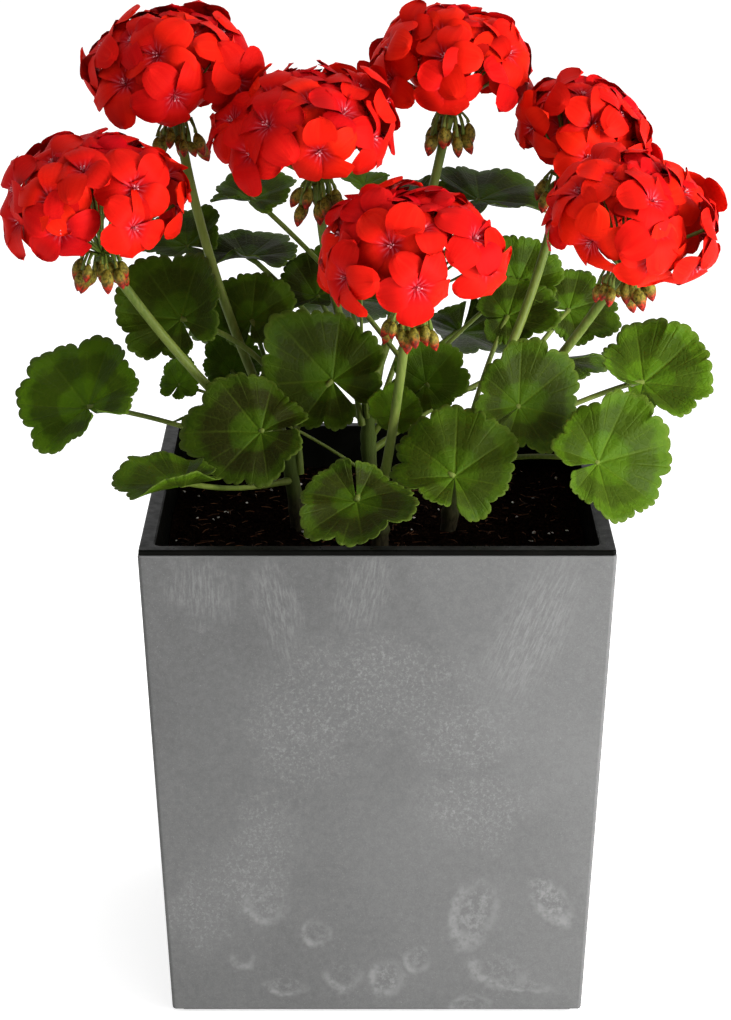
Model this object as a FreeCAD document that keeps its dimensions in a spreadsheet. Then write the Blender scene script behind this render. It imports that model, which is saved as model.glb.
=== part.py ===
import FreeCAD, Part
import math
import os
import Sketcher
from FreeCAD import Placement, Rotation, Vector

# A square tapered planter box: a moulded cover pot, a lift-out grow pot that hangs in it by a
# flange, and the planting in the grow pot. The origin is the middle of the flat underside, +Z is
# up, -Y is the front and +X is the right-hand side seen from the front. Sizes are millimetres.

doc = FreeCAD.newDocument("planter_box")

# ---- Driving sizes ---------------------------------------------------------------------------

sheet = doc.addObject("Spreadsheet::Sheet", "sizes")
SIZES = [
    ("top_width", 300, "cover pot across its top, outside"),
    ("base_width", 269, "cover pot across its base, outside"),
    ("shell_height", 322, "ground to the top edge of the cover pot"),
    ("shell_wall", 5.5, "cover pot wall"),
    ("shell_floor", 6, "cover pot floor, above the plinth"),
    ("corner_round", 2.5, "upright outside corners of the cover pot"),
    ("base_round", 2, "edge round the underside of the cover pot"),
    ("rim_bevel", 1, "bevel round the top edge of the cover pot"),
    ("plinth_height", 3, "recessed foot under the cover pot"),
    ("plinth_inset", 7, "plinth edge in from the base edge"),
    ("drain_bore", 16, "drain hole through the cover pot floor"),
    ("drain_offset", 80, "drain hole centre to the right of the middle"),
    ("channel_width", 8, "drain channel across the underside of the plinth"),
    ("channel_depth", 2, "drain channel depth"),
    ("insert_clearance", 2, "cover pot wall to grow pot wall"),
    ("insert_wall", 3, "grow pot wall"),
    ("insert_floor", 3, "grow pot floor"),
    ("insert_round", 8, "upright outside corners of the grow pot"),
    ("flange_thickness", 3.5, "grow pot flange that hangs on the cover pot"),
    ("flange_inset", 0.5, "flange edge in from the cover pot's outside"),
    ("flange_round", 1.2, "softened top edges of the flange"),
    ("reservoir_depth", 25, "water space under the grow pot"),
    ("seep_bore", 8, "seep holes in the grow pot floor"),
    ("seep_pitch", 60, "seep hole spacing"),
    ("granule_depth", 25, "clay granules on the grow pot floor"),
    ("soil_below_rim", 25, "cover pot top edge down to the potting soil"),
    ("fill_gap", 0.2, "granules and soil short of the grow pot wall"),
    ("plug_head", 24, "drain plug head diameter"),
    ("plug_head_height", 3, "drain plug head height"),
    ("plug_gap", 0.3, "play between the plug and its hole, at the radius"),
    ("plug_knob", 9, "drain plug pull knob diameter"),
    ("plug_knob_height", 7, "drain plug pull knob height"),
    ("stem_thickness", 12, "woody crown stem diameter"),
    ("flower_stalk_thickness", 6.6, "flower stalk diameter"),
    ("leaf_stalk_thickness", 3.6, "leaf stalk diameter"),
    ("leaf_thickness", 1, "leaf blade"),
    ("leaf_notch", 36, "angle of the notch where the stalk meets the blade, in degrees"),
    ("bud_cluster_length", 26, "hanging bud cluster, top to bottom"),
    ("bud_cluster_width", 44, "hanging bud cluster across its lower end"),
    ("growing_gap", 0.6, "least space between plant pieces that don't join"),
]
for row, (alias, value, meaning) in enumerate(SIZES, start=1):
    sheet.set(f"A{row}", alias)
    sheet.set(f"B{row}", str(value))
    sheet.set(f"C{row}", meaning)
    sheet.setAlias(f"B{row}", alias)
doc.recompute()
size = {alias: float(sheet.get(alias)) for alias, _, _ in SIZES}

# Heights above the ground, as expressions on the sheet.
SHELL_FLOOR_TOP = "(sizes.plinth_height + sizes.shell_floor)"
INSERT_BASE = f"({SHELL_FLOOR_TOP} + sizes.reservoir_depth)"
INSERT_FLOOR_TOP = f"({INSERT_BASE} + sizes.insert_floor)"
GRANULE_TOP = f"({INSERT_FLOOR_TOP} + sizes.granule_depth)"
SOIL_TOP = "(sizes.shell_height - sizes.soil_below_rim)"
FLANGE_TOP = "(sizes.shell_height + sizes.flange_thickness)"
CUT_MARGIN = 2      # how far a cutting shape runs past the face that it opens


def width_at(height, inset):
    """Expression for the width at a height, with each side set in from the cover pot's outside."""
    taper = "(sizes.top_width - sizes.base_width) / (sizes.shell_height - sizes.plinth_height)"
    return f"sizes.base_width + {taper} * ({height} - sizes.plinth_height) - 2 * ({inset})"


# ---- Modelling helpers for the moulded pieces ------------------------------------------------

def new_body(label):
    body = doc.addObject("PartDesign::Body", label)
    body.Label = label
    return body


def ground_plane(body):
    return next(item for item in body.Origin.OriginFeatures if item.Role == "XY_Plane")


def sketch_at(body, name, height):
    """A sketch on the body's ground plane, lifted to a height given as an expression."""
    sketch = body.newObject("Sketcher::SketchObject", name)
    sketch.AttachmentSupport = [(ground_plane(body), "")]
    sketch.MapMode = "FlatFace"
    sketch.setExpression("AttachmentOffset.Base.z", height)
    return sketch


def draw_square(sketch, width):
    """A square about the origin, its width bound to an expression."""
    corners = [Vector(-50, -50), Vector(50, -50), Vector(50, 50), Vector(-50, 50)]
    for start, end in zip(corners, corners[1:] + corners[:1]):
        sketch.addGeometry(Part.LineSegment(start, end), False)
    for side in range(4):
        sketch.addConstraint(Sketcher.Constraint("Coincident", side, 2, (side + 1) % 4, 1))
    for side, direction in enumerate(["Horizontal", "Vertical", "Horizontal", "Vertical"]):
        sketch.addConstraint(Sketcher.Constraint(direction, side))
    sketch.addConstraint(Sketcher.Constraint("Symmetric", 0, 1, 2, 1, -1, 1))
    across = sketch.addConstraint(Sketcher.Constraint("Distance", 0, 100))
    upright = sketch.addConstraint(Sketcher.Constraint("Distance", 1, 100))
    sketch.setExpression(f"Constraints[{across}]", width)
    sketch.setExpression(f"Constraints[{upright}]", width)


def draw_circle(sketch, diameter, across, along):
    """A circle whose diameter and centre are bound to expressions."""
    circle = sketch.addGeometry(Part.Circle(Vector(10, 10), Vector(0, 0, 1), 3), False)
    bound = [
        (sketch.addConstraint(Sketcher.Constraint("Diameter", circle, 6)), diameter),
        (sketch.addConstraint(Sketcher.Constraint("DistanceX", -1, 1, circle, 3, 10)), across),
        (sketch.addConstraint(Sketcher.Constraint("DistanceY", -1, 1, circle, 3, 10)), along),
    ]
    for constraint, expression in bound:
        sketch.setExpression(f"Constraints[{constraint}]", expression)


def wedge(body, kind, name, low, high, inset):
    """A four-sided tapered block between two heights, its sides set in from the cover pot's."""
    block = body.newObject(f"PartDesign::{kind}Wedge", name)
    block.AttachmentSupport = [(ground_plane(body), "")]
    block.MapMode = "FlatFace"
    block.AttachmentOffset = Placement(Vector(0, 0, 0), Rotation(Vector(1, 0, 0), 90))
    block.setExpression("AttachmentOffset.Base.z", low)
    block.Ymin = 0
    block.setExpression("Ymax", f"{high} - {low}")
    for across in "XZ":
        block.setExpression(f"{across}max", f"({width_at(low, inset)}) / 2")
        block.setExpression(f"{across}min", f"-({width_at(low, inset)}) / 2")
        block.setExpression(f"{across}2max", f"({width_at(high, inset)}) / 2")
        block.setExpression(f"{across}2min", f"-({width_at(high, inset)}) / 2")
    doc.recompute()
    return block


def edges_where(feature, test):
    """Names of a feature's edges that pass a test on their two end points."""
    return [f"Edge{index}" for index, edge in enumerate(feature.Shape.Edges, start=1)
            if len(edge.Vertexes) == 2 and test(edge.Vertexes[0].Point, edge.Vertexes[1].Point)]


def soften(body, kind, name, test, size_name, amount):
    """Fillet or chamfer the edges of the body's tip that pass a test."""
    tip = body.Tip
    feature = body.newObject(f"PartDesign::{kind}", name)
    feature.Base = (tip, edges_where(tip, test))
    feature.setExpression(size_name, amount)
    doc.recompute()
    return feature


def upright(start, end):
    return abs(start.z - end.z) > 10


def pad(body, name, sketch, length):
    feature = body.newObject("PartDesign::Pad", name)
    feature.Profile = sketch
    feature.setExpression("Length", length)
    doc.recompute()
    return feature


def pocket_up(body, name, sketch, length):
    """Cut upwards from a sketch, and make sure that material went."""
    before = body.Tip.Shape.Volume
    feature = body.newObject("PartDesign::Pocket", name)
    feature.Profile = sketch
    feature.Reversed = True
    feature.setExpression("Length", length)
    doc.recompute()
    if feature.Shape.Volume >= before:
        raise RuntimeError(f"{name} cuts nothing")
    return feature


# ---- Cover pot -------------------------------------------------------------------------------

cover_pot = new_body("cover_pot")
wedge(cover_pot, "Additive", "shell_block", "sizes.plinth_height", "sizes.shell_height", "0")
soften(cover_pot, "Fillet", "shell_corners", upright, "Radius", "sizes.corner_round")
soften(cover_pot, "Fillet", "shell_base_edge",
       lambda start, end: max(start.z, end.z) < size["plinth_height"] + 0.01,
       "Radius", "sizes.base_round")
soften(cover_pot, "Chamfer", "shell_rim_edge",
       lambda start, end: min(start.z, end.z) > size["shell_height"] - 0.01,
       "Size", "sizes.rim_bevel")
wedge(cover_pot, "Subtractive", "shell_cavity", SHELL_FLOOR_TOP,
      f"(sizes.shell_height + {CUT_MARGIN})", "sizes.shell_wall")

plinth_sketch = sketch_at(cover_pot, "plinth_outline", "0")
draw_square(plinth_sketch, "sizes.base_width - 2 * sizes.plinth_inset")
pad(cover_pot, "plinth", plinth_sketch, "sizes.plinth_height")

drain_sketch = sketch_at(cover_pot, "drain_outline", "0")
draw_circle(drain_sketch, "sizes.drain_bore", "sizes.drain_offset", "0")
pocket_up(cover_pot, "drain_hole", drain_sketch, SHELL_FLOOR_TOP)

# The channel lets water from the drain hole run out sideways to the edge of the plinth.
channel_sketch = sketch_at(cover_pot, "channel_outline", "0")
channel_ends = [Vector(80, -4), Vector(140, -4), Vector(140, 4), Vector(80, 4)]
for start, end in zip(channel_ends, channel_ends[1:] + channel_ends[:1]):
    channel_sketch.addGeometry(Part.LineSegment(start, end), False)
for side in range(4):
    channel_sketch.addConstraint(Sketcher.Constraint("Coincident", side, 2, (side + 1) % 4, 1))
for side, direction in enumerate(["Horizontal", "Vertical", "Horizontal", "Vertical"]):
    channel_sketch.addConstraint(Sketcher.Constraint(direction, side))
channel_sizes = [
    (Sketcher.Constraint("DistanceX", -1, 1, 0, 1, 80), "sizes.drain_offset"),
    (Sketcher.Constraint("DistanceX", -1, 1, 0, 2, 140), "sizes.base_width / 2"),
    (Sketcher.Constraint("DistanceY", 0, 1, -1, 1, 4), "sizes.channel_width / 2"),
    (Sketcher.Constraint("Distance", 1, 8), "sizes.channel_width"),
]
for constraint, expression in channel_sizes:
    index = channel_sketch.addConstraint(constraint)
    channel_sketch.setExpression(f"Constraints[{index}]", expression)
pocket_up(cover_pot, "drain_channel", channel_sketch, "sizes.channel_depth")

# ---- Grow pot --------------------------------------------------------------------------------

INSERT_INSET = "sizes.shell_wall + sizes.insert_clearance"
CAVITY_INSET = f"{INSERT_INSET} + sizes.insert_wall"

grow_pot = new_body("grow_pot")
wedge(grow_pot, "Additive", "insert_block", INSERT_BASE, "sizes.shell_height", INSERT_INSET)
soften(grow_pot, "Fillet", "insert_corners", upright, "Radius", "sizes.insert_round")
flange_sketch = sketch_at(grow_pot, "flange_outline", "sizes.shell_height")
draw_square(flange_sketch, "sizes.top_width - 2 * sizes.flange_inset")
pad(grow_pot, "flange", flange_sketch, "sizes.flange_thickness")
soften(grow_pot, "Fillet", "flange_corners",
       lambda start, end: (min(start.z, end.z) > size["shell_height"] - 0.01
                           and abs(start.z - end.z) > 1),
       "Radius", "sizes.corner_round")
wedge(grow_pot, "Subtractive", "insert_cavity", INSERT_FLOOR_TOP,
      f"({FLANGE_TOP} + {CUT_MARGIN})", CAVITY_INSET)


def cavity_corner(start, end):
    """An upright edge between the grow pot floor and the top of its flange."""
    reach = size["shell_height"] + size["flange_thickness"]
    return upright(start, end) and max(start.z, end.z) > reach - 0.01


soften(grow_pot, "Fillet", "cavity_corners", cavity_corner, "Radius",
       "sizes.insert_round - sizes.insert_wall")
soften(grow_pot, "Fillet", "flange_edges",
       lambda start, end: min(start.z, end.z) > size["shell_height"] + size["flange_thickness"] - 0.01,
       "Radius", "sizes.flange_round")

SEEP_STEPS = [-1.5, -0.5, 0.5, 1.5]     # seep holes in each row, in pitches from the middle
seep_sketch = sketch_at(grow_pot, "seep_outlines", INSERT_BASE)
for across in SEEP_STEPS:
    for along in SEEP_STEPS:
        draw_circle(seep_sketch, "sizes.seep_bore",
                    f"{across} * sizes.seep_pitch", f"{along} * sizes.seep_pitch")
pocket_up(grow_pot, "seep_holes", seep_sketch, "sizes.insert_floor")

# ---- Granules and soil -----------------------------------------------------------------------

FILL_INSET = f"{CAVITY_INSET} + sizes.fill_gap"


def filling(label, low, high):
    """A layer that fills the grow pot between two heights."""
    body = new_body(label)
    wedge(body, "Additive", f"{label}_block", low, high, FILL_INSET)
    soften(body, "Fillet", f"{label}_corners",
           lambda start, end: abs(start.z - end.z) > 1,
           "Radius", "sizes.insert_round - sizes.insert_wall")
    return body


clay_granules = filling("clay_granules", INSERT_FLOOR_TOP, GRANULE_TOP)
potting_soil = filling("potting_soil", GRANULE_TOP, SOIL_TOP)

# ---- Drain plug ------------------------------------------------------------------------------

drain_plug = new_body("drain_plug")
plug_steps = [
    ("plug_shank", "sizes.drain_bore - 2 * sizes.plug_gap", "sizes.plinth_height",
     "sizes.shell_floor"),
    ("plug_top", "sizes.plug_head", SHELL_FLOOR_TOP, "sizes.plug_head_height"),
    ("plug_pull", "sizes.plug_knob", f"({SHELL_FLOOR_TOP} + sizes.plug_head_height)",
     "sizes.plug_knob_height"),
]
for name, diameter, low, length in plug_steps:
    outline = sketch_at(drain_plug, f"{name}_outline", low)
    draw_circle(outline, diameter, "sizes.drain_offset", "0")
    pad(drain_plug, name, outline, length)

# ---- Planting --------------------------------------------------------------------------------

# Four bushy plants grow from the soil. Places are given from the middle of the box, with heights
# above the cover pot's top edge. The pieces grow in turn: stems, flowers, leaf blades and leaf
# stalks. Each takes the first of its ways that clears everything that has already grown.
RIM = size["shell_height"]
SOIL = RIM - size["soil_below_rim"]
HALF_TOP = size["top_width"] / 2
grown = [grow_pot.Shape]


def clears(shape, others, gap):
    """True when a shape keeps at least the gap from all the others."""
    reach = shape.BoundBox
    reach.enlarge(gap)
    near = [other for other in others if reach.intersect(other.BoundBox)]
    # The distance between two round tubes that cross can come out too large, so the volume that
    # the shapes share is looked at as well.
    return (all(shape.distToShape(other)[0] >= gap for other in near)
            and all(shape.common(other).Volume == 0 for other in near))


def first_clear(label, ways, others):
    """The first shape, of those that the ways make, that clears the others."""
    for shape in ways:
        if clears(shape, others, size["growing_gap"]):
            return shape
    raise RuntimeError(f"{label} has no room to grow")


def add_piece(label, shape):
    piece = doc.addObject("Part::Feature", label)
    piece.Label = label
    piece.Shape = shape
    piece.Placement = shape.Placement
    return piece


def arc_tube(start, end, bulge, diameter):
    """A round tube along one circular arc, which stands off its chord by the bulge vector."""
    middle = (start + end) / 2 + bulge
    arc = Part.Arc(start, middle, end).toShape()
    centre = arc.Curve.Center
    axis = (start - centre).cross(middle - centre)
    axis.normalize()
    tangent = axis.cross(start - centre)
    section = Part.Face(Part.Wire(Part.Circle(start, tangent, diameter / 2).toShape()))
    turn = math.degrees(arc.Length / arc.Curve.Radius)
    return section.revolve(centre, axis, turn)


def bulge_along(start, end, towards, share):
    """The part of a direction that is square to a chord, as long as a share of the chord."""
    chord = end - start
    along = Vector(chord)
    along.normalize()
    across = towards - along * towards.dot(along)
    across.normalize()
    return across * (chord.Length * share)


# Each stem: its foot on the soil and its top, which is given by its height above the rim.
STEMS = [
    (Vector(-52, -6, SOIL), Vector(-60, -10, RIM + 34)),
    (Vector(48, -12, SOIL), Vector(56, -16, RIM + 38)),
    (Vector(-4, 46, SOIL), Vector(-6, 52, RIM + 56)),
    (Vector(2, -58, SOIL), Vector(4, -64, RIM + 22)),
]
stem_shapes = []
for foot, top in STEMS:
    lean = top - foot
    stem = Part.makeCylinder(size["stem_thickness"] / 2, lean.Length + 6, foot - lean * 0.05, lean)
    soil_block = Part.makeBox(60, 60, 40, foot - Vector(30, 30, 40))
    stem_shapes.append(stem.cut(soil_block))
add_piece("crown_stems", Part.makeCompound(stem_shapes))


HEAD_SINK = 0.86            # flat underside of a head below its middle, in half heights


def flower_head(foot, axis, half_width, half_height):
    """The outer shape of a flower head: a flattened globe on a flat underside, whose middle is
    at the foot."""
    lowest = -math.degrees(math.asin(HEAD_SINK))
    globe = Part.makeSphere(half_width, Vector(0, 0, 0), Vector(0, 0, 1), lowest, 90, 360)
    flatten = FreeCAD.Matrix()
    flatten.scale(1, 1, half_height / half_width)
    globe = globe.transformGeometry(flatten)
    globe.Placement = Placement(foot + axis * (half_height * HEAD_SINK),
                                Rotation(Vector(0, 0, 1), axis))
    return globe


def bud_cone(top, axis):
    """The outer shape of the buds, which hang round the top of a flower stalk."""
    length = size["bud_cluster_length"]
    foot = top - axis * length
    neck = size["bud_cluster_width"] / 5
    return Part.makeCone(size["bud_cluster_width"] / 2, neck, length, foot, axis)


RISE_STEPS = 8              # how many times a piece may try again, a little higher
HEAD_RISE = 4

# Each flower: the top of its stalk, its lean to the right and to the back, half its width, half
# its height, and the stem that it grows from.
FLOWERS = [
    (Vector(-130, 25, 242), -4, 0, 55, 38, 0),
    (Vector(-176, -50, 170), -5, -3, 57, 40, 0),
    (Vector(-38, -25, 212), -7, 0, 58, 38, 2),
    (Vector(48, 60, 240), 0, 0, 53, 36, 2),
    (Vector(125, 45, 202), 28, 0, 46, 34, 1),
    (Vector(155, -75, 165), 12, -6, 56, 38, 1),
    (Vector(19, -85, 142), 0, -5, 58, 42, 3),
]
flower_parts = []
for number, (place, right, back, half_width, half_height, stem) in enumerate(FLOWERS, start=1):
    axis = Vector(math.tan(math.radians(right)), math.tan(math.radians(back)), 1)
    axis.normalize()
    stalk_top = place + Vector(0, 0, RIM)
    heads = (flower_head(stalk_top + axis * (step * HEAD_RISE), axis, half_width, half_height)
             for step in range(RISE_STEPS))
    head = first_clear(f"flower_head_{number}", heads, grown)
    grown.append(head)
    stalk_top = head.Placement.Base - axis * (half_height * HEAD_SINK)
    flower_parts.append((number, stalk_top, axis, stem, head))
    add_piece(f"flower_head_{number}", head)

TRIM_REACH = 30             # size of the block that trims a stalk's end


def trim_end(tube, point, normal):
    """Cut off what lies beyond the plane through a point, on the side of its normal."""
    return tube.cut(Part.makeCylinder(TRIM_REACH, TRIM_REACH, point, normal))


STALK_BENDS = [0.04, -0.04, 0.1, -0.1, 0.16, -0.16, 0.22]   # bulge, as a share of the chord
STEM_SHARES = [0.92, 0.8, 0.68, 0.56, 0.44, 0.34, 0.24]     # how far up its stem a stalk may start


def stem_point(stem, share):
    foot, top = STEMS[stem]
    return foot + (top - foot) * share


for number, stalk_top, axis, stem, head in flower_parts:
    others = [shape for shape in grown if shape is not head]
    others += [shape for index, shape in enumerate(stem_shapes) if index != stem]
    outward = Vector(stalk_top.x, stalk_top.y, 0)
    end = stalk_top + axis * 2
    stalks = (arc_tube(stem_point(stem, share), end,
                       bulge_along(stem_point(stem, share), end, outward, bend),
                       size["flower_stalk_thickness"])
              for bend in STALK_BENDS for share in STEM_SHARES)
    stalk = first_clear(f"flower_stalk_{number}", stalks, others)
    stalk = trim_end(stalk, stalk_top, axis).cut(stem_shapes[stem])
    grown.append(stalk)
    add_piece(f"flower_stalk_{number}", stalk)
    buds = bud_cone(stalk_top, axis).cut(stalk)
    grown.append(buds)
    add_piece(f"bud_cluster_{number}", buds)


def leaf_axes(faces, tilt, heading):
    """A blade's heading and normal. It faces the front at 0 and the right at 90, lies flat at a
    tilt of 0, and its heading turns from downhill, through its right-hand side, to uphill."""
    faces, tilt, heading = math.radians(faces), math.radians(tilt), math.radians(heading)
    towards = Vector(math.sin(faces), -math.cos(faces), 0)
    upwards = Vector(0, 0, 1)
    downhill = towards * math.cos(tilt) - upwards * math.sin(tilt)
    sideways = Vector(math.cos(faces), math.sin(faces), 0)
    normal = towards * math.sin(tilt) + upwards * math.cos(tilt)
    return downhill * math.cos(heading) + sideways * math.sin(heading), normal


HUB_SHARE = 0.26            # blade middle ahead of the point where the stalk joins, in radii


def leaf_blade(hub, forward, normal, radius):
    """A round flat blade with a notch that runs in to the point where the stalk joins."""
    notch = math.radians(size["leaf_notch"]) / 2
    middle = Vector(radius * HUB_SHARE, 0, 0)
    lip = middle + Vector(-radius * math.cos(notch), radius * math.sin(notch), 0)
    other_lip = Vector(lip.x, -lip.y, 0)
    outline = Part.Wire([
        Part.Arc(lip, middle + Vector(radius, 0, 0), other_lip).toShape(),
        Part.LineSegment(other_lip, Vector(0, 0, 0)).toShape(),
        Part.LineSegment(Vector(0, 0, 0), lip).toShape(),
    ])
    blade = Part.Face(outline).extrude(Vector(0, 0, size["leaf_thickness"]))
    blade.Placement = Placement(hub, Rotation(forward, normal.cross(forward), normal, "XYZ"))
    return blade


# Each leaf: where its stalk joins the blade, the blade's radius, the way it faces, its tilt and
# its heading. The front leaf hangs over the rim, so its place follows the rim.
LEAVES = [
    (Vector(-191, -20, 62), 43, -25, 42, -128),
    (Vector(-124, -112, 36), 34, 0, 1, -90),
    (Vector(-75, -78, 58), 40, -10, 50, -85),
    (Vector(-29, -30, 82), 41, -5, 66, -135),
    (Vector(-13, -HALF_TOP + 2, 37), 37, 0, 30, 5),
    (Vector(49, -116, 43), 40, 5, 42, 172),
    (Vector(11, -58, 65), 18, 0, 50, 180),
    (Vector(32, -30, 80), 24, 0, 64, 140),
    (Vector(91, -55, 78), 36, 10, 66, 127),
    (Vector(140, -116, 51), 41, 20, 62, 98),
    (Vector(178, 5, 73), 40, 25, 34, 115),
    (Vector(-83, 6, 112), 28, -10, 60, 180),
    (Vector(-129, 4, 118), 38, -15, 62, -140),
    (Vector(-128, 62, 153), 29, -10, 24, -115),
    (Vector(-84, 62, 185), 28, 0, 12, 170),
    (Vector(-87, 60, 145), 31, 0, 10, 150),
    (Vector(-97, 20, 76), 22, -10, 36, 170),
    (Vector(18, 84, 178), 28, -5, 18, -140),
    (Vector(70, 84, 180), 39, 10, 17, 125),
    (Vector(96, 62, 126), 27, 10, 58, 150),
    (Vector(88, 40, 110), 29, 5, 40, 110),
    (Vector(131, 56, 107), 29, 20, 50, 100),
    (Vector(-40, 30, 122), 30, 0, 34, 160),
    (Vector(-8, 38, 198), 16, 0, 24, 175),
    (Vector(-131, -14, 75), 15, -20, 50, 170),
    (Vector(-96, 122, 92), 38, -150, 46, 10),
    (Vector(-20, 140, 100), 40, 175, 44, -10),
    (Vector(60, 128, 78), 39, 165, 40, 15),
    (Vector(120, 100, 66), 34, 140, 30, 0),
    (Vector(-106, 95, 30), 34, -130, 28, 0),
    (Vector(-58, 112, 44), 34, -165, 30, 20),
    (Vector(30, 122, 30), 33, 170, 26, -25),
]
BLADE_STEPS = [0, 4, -4, 8, -8, 12, -12, 16, -16, 20, -20, 25, -25, 30, -30]   # back or front
blades = []
for number, (place, radius, faces, tilt, heading) in enumerate(LEAVES, start=1):
    hub = place + Vector(0, 0, RIM)
    forward, normal = leaf_axes(faces, tilt, heading)
    ways = (leaf_blade(hub + Vector(0, step, 0), forward, normal, radius)
            for step in BLADE_STEPS)
    blade = first_clear(f"leaf_{number:02d}", ways, grown + stem_shapes)
    grown.append(blade)
    blades.append((number, blade, normal))


def leaf_stalk_ways(hub, normal):
    """The ways that a leaf's stalk may run, from the nearest stem and gentlest bend on."""
    nearest = sorted(range(len(STEMS)), key=lambda index: hub.distanceToPoint(STEMS[index][1]))
    for stem in nearest:
        for bend in STALK_BENDS:
            for share in STEM_SHARES:
                start = stem_point(stem, share)
                bulge = bulge_along(start, hub, Vector(0, 0, 1), bend)
                tube = arc_tube(start, hub + normal * size["leaf_thickness"], bulge,
                                size["leaf_stalk_thickness"])
                yield stem, tube


for number, blade, normal in blades:
    label = f"leaf_{number:02d}"
    hub = blade.Placement.Base
    for stem, tube in leaf_stalk_ways(hub, normal):
        others = [shape for shape in grown if shape is not blade]
        others += [shape for index, shape in enumerate(stem_shapes) if index != stem]
        if clears(tube, others, size["growing_gap"]):
            break
    else:
        raise RuntimeError(f"the stalk of {label} has no room to grow")
    tube = trim_end(tube, hub, normal).cut(stem_shapes[stem])
    if len(tube.Solids) != 1:
        raise RuntimeError(f"the stalk of {label} doesn't reach from its stem to its blade")
    grown.append(tube)
    add_piece(label, Part.makeCompound([blade, tube]))

# ---- Check and write -------------------------------------------------------------------------

doc.recompute()
pieces = [item for item in doc.Objects
          if item.TypeId in ("PartDesign::Body", "Part::Feature")]
for item in doc.Objects:
    if "Invalid" in item.State or "Error" in item.State:
        raise RuntimeError(f"{item.Label} failed: {item.State}")
os.makedirs("parts", exist_ok=True)
for piece in pieces:
    if piece.Shape.isNull() or not piece.Shape.isValid():
        raise RuntimeError(f"{piece.Label} has no valid shape")
    piece.Shape.exportStep(f"parts/{piece.Label}.step")
print(f"wrote {len(pieces)} pieces")
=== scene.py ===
import math
import random

import bmesh
import bpy
from mathutils import Matrix, Vector, noise


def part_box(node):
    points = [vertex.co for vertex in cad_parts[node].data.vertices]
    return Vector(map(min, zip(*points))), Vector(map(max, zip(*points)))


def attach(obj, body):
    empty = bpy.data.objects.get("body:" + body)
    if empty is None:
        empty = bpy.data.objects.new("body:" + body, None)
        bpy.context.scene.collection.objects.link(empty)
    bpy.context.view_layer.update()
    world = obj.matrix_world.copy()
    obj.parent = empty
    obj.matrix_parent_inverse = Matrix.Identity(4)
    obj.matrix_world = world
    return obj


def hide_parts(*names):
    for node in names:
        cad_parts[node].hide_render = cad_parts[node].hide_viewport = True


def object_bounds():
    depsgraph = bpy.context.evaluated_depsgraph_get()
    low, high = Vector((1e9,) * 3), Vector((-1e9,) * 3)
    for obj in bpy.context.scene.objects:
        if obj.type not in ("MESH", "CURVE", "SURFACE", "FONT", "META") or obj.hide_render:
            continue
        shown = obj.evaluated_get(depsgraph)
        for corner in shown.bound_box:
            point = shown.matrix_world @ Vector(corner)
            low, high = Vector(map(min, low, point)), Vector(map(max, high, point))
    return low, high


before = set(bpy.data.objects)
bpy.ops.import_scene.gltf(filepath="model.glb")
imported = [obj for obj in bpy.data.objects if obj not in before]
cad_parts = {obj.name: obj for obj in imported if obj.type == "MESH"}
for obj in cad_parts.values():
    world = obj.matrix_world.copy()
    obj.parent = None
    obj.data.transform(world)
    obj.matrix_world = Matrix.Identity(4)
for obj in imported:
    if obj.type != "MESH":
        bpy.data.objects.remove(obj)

cad_low, cad_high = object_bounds()

# ---- Cover pot -------------------------------------------------------------------------------
# The tapered outer pot is moulded in grey plastic with powdered stone in it. The powder shows as
# fine speckle, as flow streaks below the rim and as pale swirls near the base.


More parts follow.
